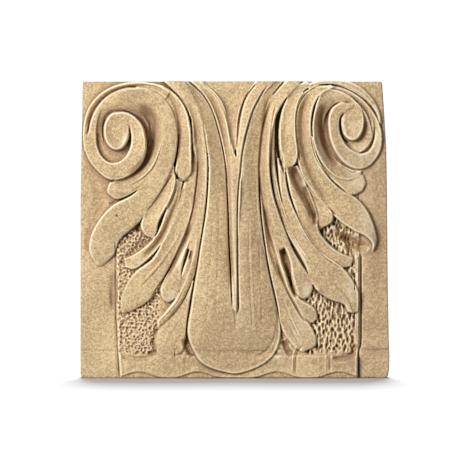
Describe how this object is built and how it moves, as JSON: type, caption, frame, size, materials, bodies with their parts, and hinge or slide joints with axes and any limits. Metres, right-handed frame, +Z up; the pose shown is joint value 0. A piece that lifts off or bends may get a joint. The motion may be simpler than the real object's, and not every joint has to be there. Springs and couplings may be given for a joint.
{
  "type": "frieze ornament",
  "caption": "Cast stone frieze block with acanthus leaves in high relief that roll into volutes either side of a fluted stem, on a scalloped foot.",
  "frame": {"origin": "centre of the bounding box in X and Y, on the underside the block stands on", "axes": "+X to the viewer's right along the frieze, +Y from the carved face to the back, +Z up"},
  "size_m": [0.3088, 0.066, 0.2965],
  "materials": {
    "sandstone_cast": "matte"
  },
  "bodies": {
    "root": {"frieze_block": "sandstone_cast"}
  },
  "joints": []
}
